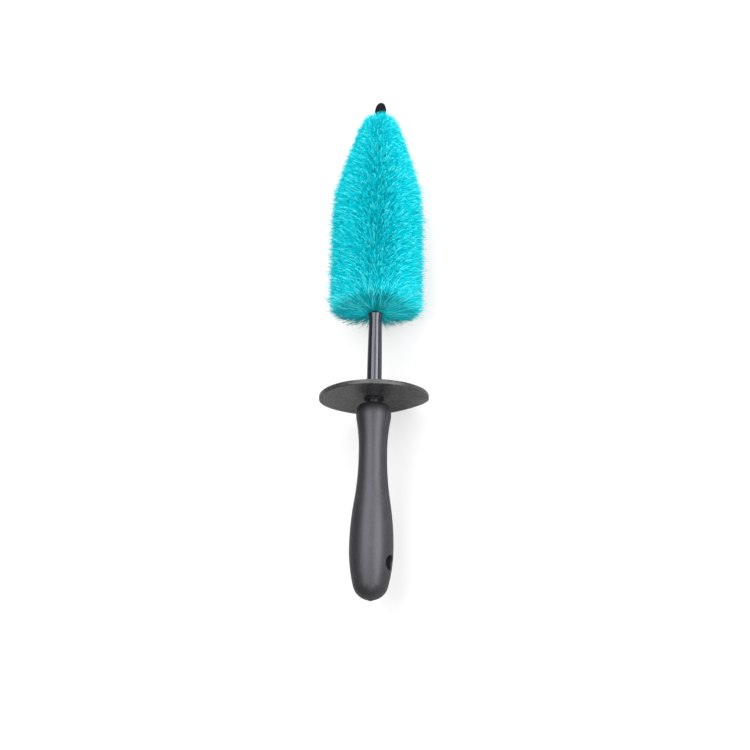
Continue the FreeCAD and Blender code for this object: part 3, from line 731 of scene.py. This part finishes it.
def bendFibres(name, fibres):  # each fibre bent along its own curve from root to tip
    v = bristleHead
    count = len(fibres["tone"])
    mesh, corners = layOutFibres(name, count)
    flat = np.empty(count * corners * 3, np.float32)
    mesh.vertices.foreach_get("co", flat)
    plain = flat.reshape(count, corners, 3)
    t = plain[:, :, 2:3]
    root, middle, tip = (fibres[k][:, None, :] for k in ("root", "middle", "tip"))
    line = (1 - t) ** 2 * root + 2 * t * (1 - t) * middle + t ** 2 * tip
    heading = unit(2 * (1 - t) * (middle - root) + 2 * t * (tip - middle))
    side = unit(np.cross(heading, np.array([0.0, 1.0, 0.0])))
    lift = np.cross(heading, side)
    twist = fibres["twist"][:, None, None]
    first = side * np.cos(twist) + lift * np.sin(twist)
    second = lift * np.cos(twist) - side * np.sin(twist)
    thick = (v["rootThick"] * (1 - t) + v["tipThick"] * t) * fibres["thick"][:, None, None]
    placed = line + (first * plain[:, :, 0:1] + second * plain[:, :, 1:2]) * thick
    mesh.vertices.foreach_set("co", placed.astype(np.float32).ravel())
    for attribute, values in (
        ("tone", np.repeat(np.clip(fibres["tone"], 0.0, 1.0), corners)), ("along", t.ravel()),
    ):
        mesh.attributes.new(attribute, "FLOAT", "POINT").data.foreach_set("value", values.astype(np.float32))
    mesh.update()
    piece = bpy.data.objects.new(name, mesh)
    bpy.context.scene.collection.objects.link(piece)
    return piece


scattered = scatterFibres()
arched = archFibres()
fibres = {key: np.concatenate([value, arched[key]]) for key, value in scattered.items()}
for i in range(bristleHead["bands"]):
    chosen = fibres["band"] == i
    piece = bendFibres(f"bristles{i + 1}", {key: value[chosen] for key, value in fibres.items()})
    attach(piece, "brush")
    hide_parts(f"bristle_band_{i + 1}")
    print(piece.name, int(chosen.sum()), "fibres")


# floor, light and camera

cameraPlace = {
    "ahead": 20.5 * mm, "aside": -0.5 * mm,  # the aim, from the guard's rear face and the axis
    "distance": 1.8063, "roundAxis": 22.0, "behind": 16.78, "lean": 1.04,  # angles in degrees
    "lens": 105.6, "sensor": 36.0, "clipStart": 0.05,
}


def placeCamera():
    v = cameraPlace
    turn, behind, lean = (math.radians(v[k]) for k in ("roundAxis", "behind", "lean"))
    back = Vector((math.cos(behind) * math.sin(turn), -math.sin(behind), math.cos(behind) * math.cos(turn)))
    level = Vector((0, 1, 0)) - back * back.y
    level.normalize()
    across = level.cross(back)
    up = level * math.cos(lean) - across * math.sin(lean)
    right = across * math.cos(lean) + level * math.sin(lean)
    aim = Vector((axisX, guardLow.y + v["ahead"], axisZ)) - right * v["aside"]
    camera = bpy.data.objects.new("studioCamera", bpy.data.cameras.new("studioCamera"))
    camera.data.sensor_width = v["sensor"]
    camera.data.lens = v["lens"]
    camera.data.clip_start = v["clipStart"]
    turned = Matrix((right, up, back)).transposed().to_4x4()
    camera.matrix_world = Matrix.Translation(aim + back * v["distance"]) @ turned
    bpy.context.scene.collection.objects.link(camera)
    bpy.context.scene.camera = camera


placeCamera()

studioLight = {
    "away": 1.15, "long": 1.3, "ahead": 0.17,  # ahead of the guard's rear face
    "softboxes": (  # where each starts and ends round the brush's axis from the camera, and its glow
        ("leftSoftbox", -52.0, -10.0, 3.2), ("rightSoftbox", 19.0, 54.0, 4.8),
        ("middlePanel", -10.0, 19.0, 1.1),
    ),
    "panels": (  # direction round the axis, how far it leans towards the tip, its size and its glow
        ("frontPanel", -16.0, 50.0, 0.8, 4.3), ("rearPanel", 5.0, -50.0, 0.7, 1.2),
    ),
    "air": 0.19, "backdrop": 0.985,
}


def hangPanel(name, angle, ahead, wide, long, glow):
    v = studioLight
    angle, ahead = math.radians(cameraPlace["roundAxis"] + angle), math.radians(ahead)
    lamp = bpy.data.lights.new(name, "AREA")
    lamp.shape = "RECTANGLE"
    lamp.size = wide
    lamp.size_y = long
    lamp.energy = glow * math.pi * wide * long
    outward = Vector((math.sin(angle), 0, math.cos(angle)))
    direction = outward * math.cos(ahead) + Vector((0, math.sin(ahead), 0))
    lengthways = Vector((0, math.cos(ahead), 0)) - outward * math.sin(ahead)
    turned = Matrix((lengthways.cross(direction), lengthways, direction)).transposed().to_4x4()
    holder = bpy.data.objects.new(name, lamp)
    centre = Vector((axisX, guardLow.y + v["ahead"], axisZ))
    holder.matrix_world = Matrix.Translation(centre + direction * v["away"]) @ turned
    holder.visible_camera = False
    bpy.context.scene.collection.objects.link(holder)


for name, start, end, glow in studioLight["softboxes"]:
    wide = 2 * studioLight["away"] * math.tan(math.radians(end - start) / 2)
    hangPanel(name, (start + end) / 2, 0.0, wide, studioLight["long"], glow)
for name, angle, lean, size, glow in studioLight["panels"]:
    hangPanel(name, angle, lean, size, size, glow)


def fillAir():  # bright where the camera sees it and dim as a light
    v = studioLight
    world = bpy.data.worlds.new("studioAir")
    bpy.context.scene.world = world
    world.use_nodes = True
    air = Finish(world.node_tree)
    seen = air.node("ShaderNodeLightPath", out="Is Camera Ray")
    background = world.node_tree.nodes["Background"]
    background.inputs["Color"].default_value = (1.0, 1.0, 1.0, 1.0)
    strength = v["air"] + seen * (v["backdrop"] - v["air"])
    air.tree.links.new(strength.socket, background.inputs["Strength"])


studioFloor = {
    "shade": 0.37, "mottle": (0.4, 2.0, 0.5), "mottleShade": 0.01,
    "fadeFrom": 0.75, "halfWidth": 1.5,  # it thins out between these distances
    "shine": {"Roughness": 0.75, "Specular IOR Level": 0.2, "Emission Strength": 0.56},
}


def layFloor():
    v = studioFloor
    shape = bmesh.new()
    bmesh.ops.create_grid(shape, x_segments=1, y_segments=1, size=v["halfWidth"])
    floor = settle(shape, "studioFloor", None)
    material, finish, surface = startMaterial("studioFloor", v["shine"])
    place = finish.here()
    shade = v["shade"] + finish.cloud(place, *v["mottle"]) * v["mottleShade"]
    radius = finish.node("ShaderNodeVectorMath", {"operation": "LENGTH"}, {0: place}, out="Value")
    gone = finish.clamped("MULTIPLY", radius - v["fadeFrom"], 1 / (v["halfWidth"] - v["fadeFrom"]))
    seen = finish.node("ShaderNodeLightPath", out="Is Camera Ray")
    feed(finish, surface, {
        "Base Color": finish.node("ShaderNodeCombineColor", None, {0: shade, 1: shade, 2: shade}),
        "Emission Color": finish.node("ShaderNodeCombineColor", None, {0: seen, 1: seen, 2: seen}),
    })
    clear = finish.node("ShaderNodeBsdfTransparent")
    mixed = finish.node("ShaderNodeMixShader", None, {
        0: gone, 1: Strand(finish, surface.outputs[0]), 2: clear,
    })
    output = finish.tree.nodes["Material Output"]
    finish.tree.links.new(mixed.socket, output.inputs["Surface"])
    floor.data.materials.clear()
    floor.data.materials.append(material)


fillAir()
layFloor()
bpy.context.scene.view_settings.view_transform = "Standard"
print("studio set up")
